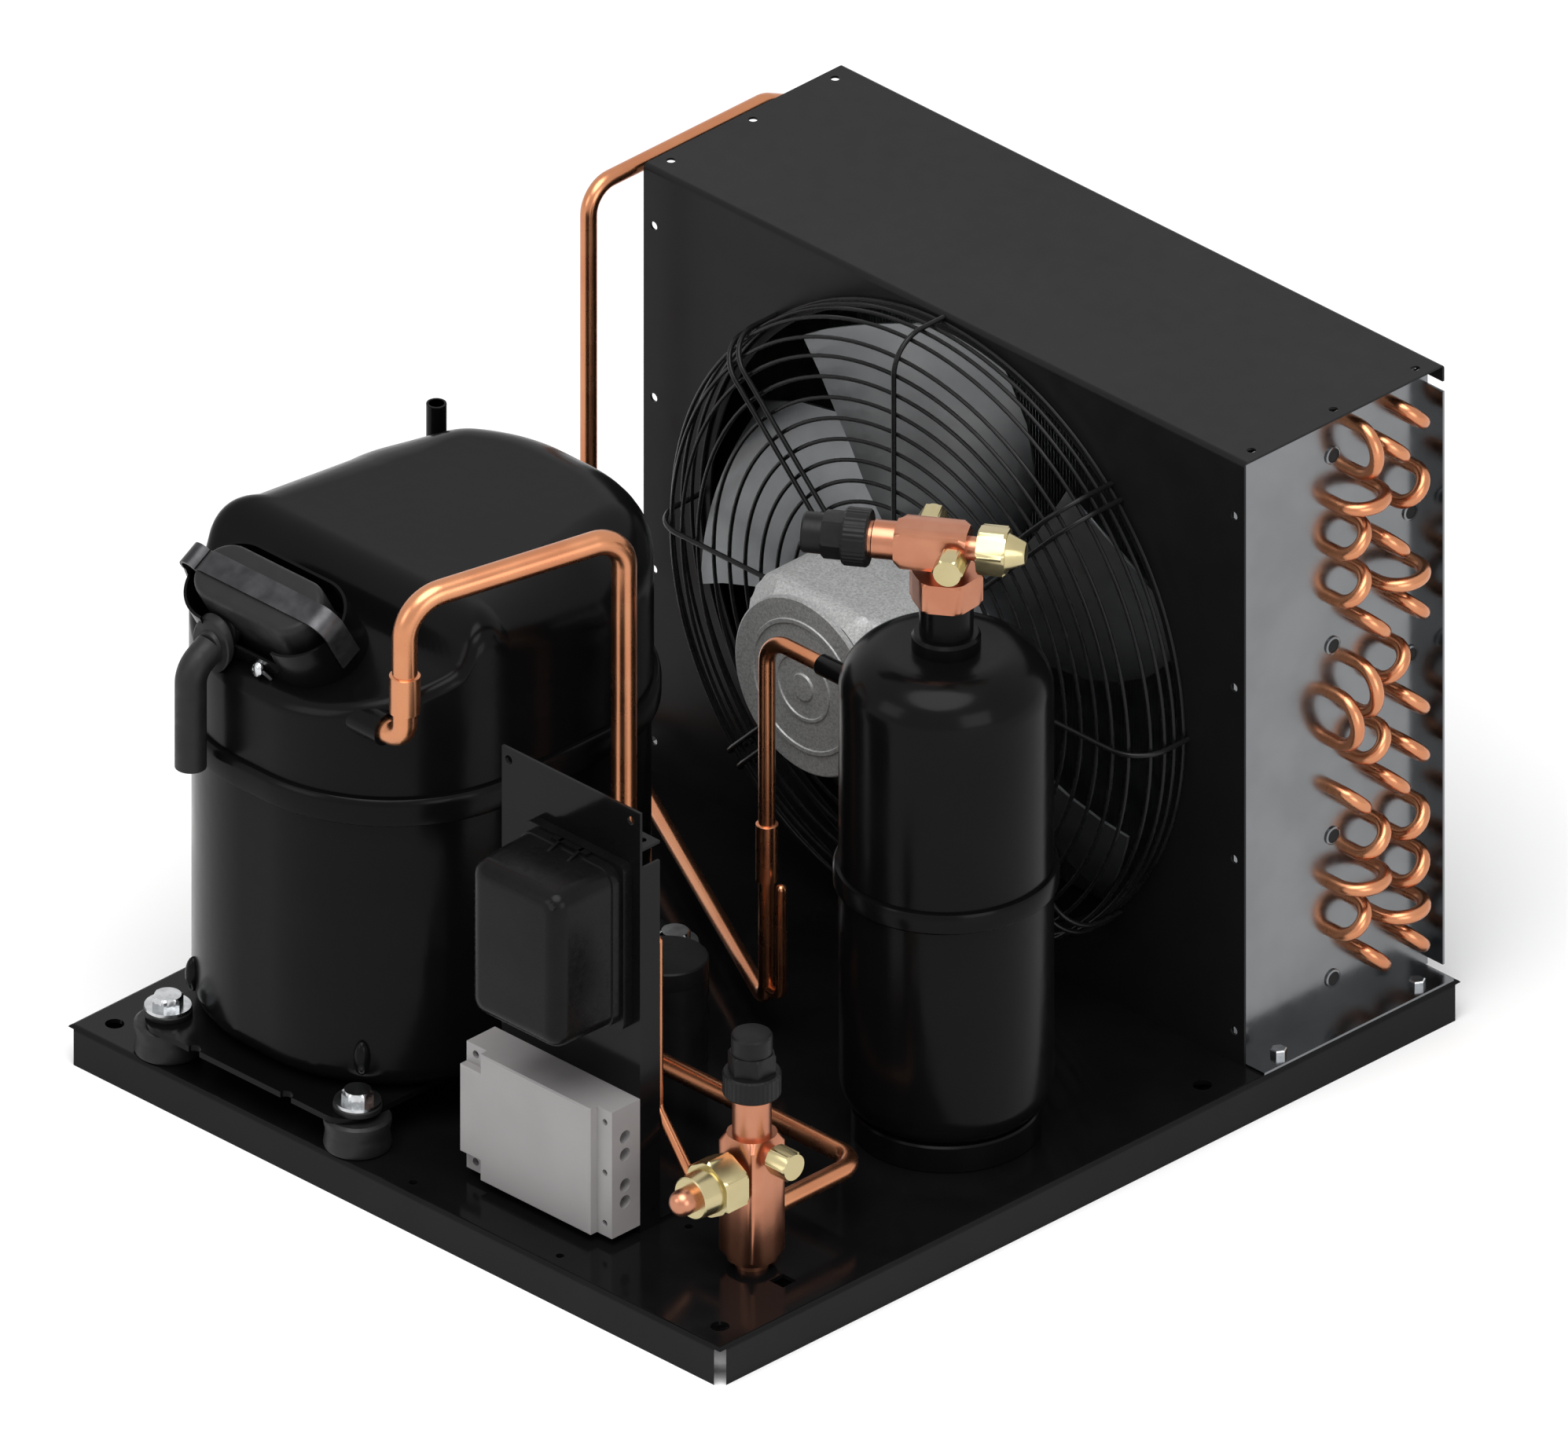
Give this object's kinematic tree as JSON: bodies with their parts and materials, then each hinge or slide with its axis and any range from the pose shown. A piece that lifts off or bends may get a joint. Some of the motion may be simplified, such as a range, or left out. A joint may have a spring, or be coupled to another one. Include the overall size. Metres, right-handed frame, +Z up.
{
  "type": "refrigeration condensing unit",
  "caption": "Air-cooled condensing unit: hermetic compressor, upright receiver, service valves and guarded fan coil on a folded base plate.",
  "frame": {"origin": "middle of the footprint, on the underside of the base plate's rim", "axes": "+Z up, +Y from the compressor to the coil, +X to the receiver's side"},
  "size_m": [0.427, 0.4978, 0.3444],
  "materials": {
    "black_paint": "gloss",
    "black_shell": "gloss",
    "galvanised": "satin",
    "copper": "polished",
    "brass": "polished",
    "aluminium_fin": "satin",
    "cast_grey": "fine grain",
    "black_rubber": "matt",
    "black_plastic": "satin",
    "grey_plastic": "satin",
    "bolt_steel": "bright",
    "guard_wire": "satin"
  },
  "bodies": {
    "unit": {"base_plate": "black_paint", "bracket": "black_paint", "bracket_screw": "bolt_steel", "cable_gland": "black_plastic", "capacitor": "black_plastic", "capped_stubs": "copper", "compressor_foot_plate": "black_shell", "compressor_lower_shell": "black_shell", "compressor_upper_shell": "black_shell", "compressor_weld_rim": "black_shell", "conduit_elbow": "black_plastic", "control_box_base": "grey_plastic", "control_box_cover": "grey_plastic", "discharge_line": "copper", "end_plate_left": "galvanised", "end_plate_right": "galvanised", "end_plate_screws": "bolt_steel", "fan_shroud": "black_paint", "fin_pack": "aluminium_fin", "foot_bolts": "bolt_steel", "foot_grommets": "black_rubber", "foot_washers": "bolt_steel", "guard_rings": "guard_wire", "guard_spokes": "guard_wire", "line_couplings": "copper", "liquid_line": "copper", "motor_cover": "cast_grey", "motor_housing": "cast_grey", "process_stub": "black_shell", "receiver_flare_nut": "brass", "receiver_foot": "black_shell", "receiver_inlet": "black_shell", "receiver_neck": "black_shell", "receiver_seam": "black_shell", "receiver_tank": "black_shell", "receiver_union_nut": "copper", "receiver_valve_body": "copper", "relay_base": "black_plastic", "relay_lid": "black_plastic", "return_bends_left": "copper", "return_bends_right": "copper", "service_bonnet": "copper", "service_flare_nut": "brass", "service_valve_body": "copper", "suction_line": "copper", "suction_lower_line": "copper", "suction_socket": "black_shell", "terminal_cover": "black_rubber", "terminal_fence": "black_shell", "terminal_strap": "bolt_steel", "valve_necks": "copper", "valve_plugs": "brass"},
    "fan_rotor": {"fan_shaft": "bolt_steel", "fan_hub": "aluminium_fin", "fan_blades": "aluminium_fin"},
    "receiver_cap": {"receiver_valve_cap": "black_plastic"},
    "receiver_spindle": {"receiver_valve_spindle": "brass"},
    "service_cap": {"service_valve_cap": "black_plastic"},
    "service_spindle": {"service_valve_spindle": "brass"}
  },
  "joints": [
    {"name": "fan_spin", "type": "hinge", "parent": "unit", "child": "fan_rotor", "pos_m": [0.0034, 0.11839, 0.181], "axis": [0, 1, 0], "continuous": true},
    {"name": "receiver_cap_pull", "type": "slide", "parent": "unit", "child": "receiver_cap", "axis": [-0.832, -0.5548, 0], "range_m": [0, 0.03]},
    {"name": "receiver_spindle_turn", "type": "hinge", "parent": "unit", "child": "receiver_spindle", "pos_m": [0.12153, -0.03109, 0.3306], "axis": [-0.832, -0.5548, 0], "range_deg": [0, 720]},
    {"name": "service_cap_pull", "type": "slide", "parent": "unit", "child": "service_cap", "axis": [0, 0, 1], "range_m": [0, 0.03]},
    {"name": "service_spindle_turn", "type": "hinge", "parent": "unit", "child": "service_spindle", "pos_m": [0.1674, -0.17171, 0.091], "axis": [0, 0, 1], "range_deg": [0, 720]}
  ]
}
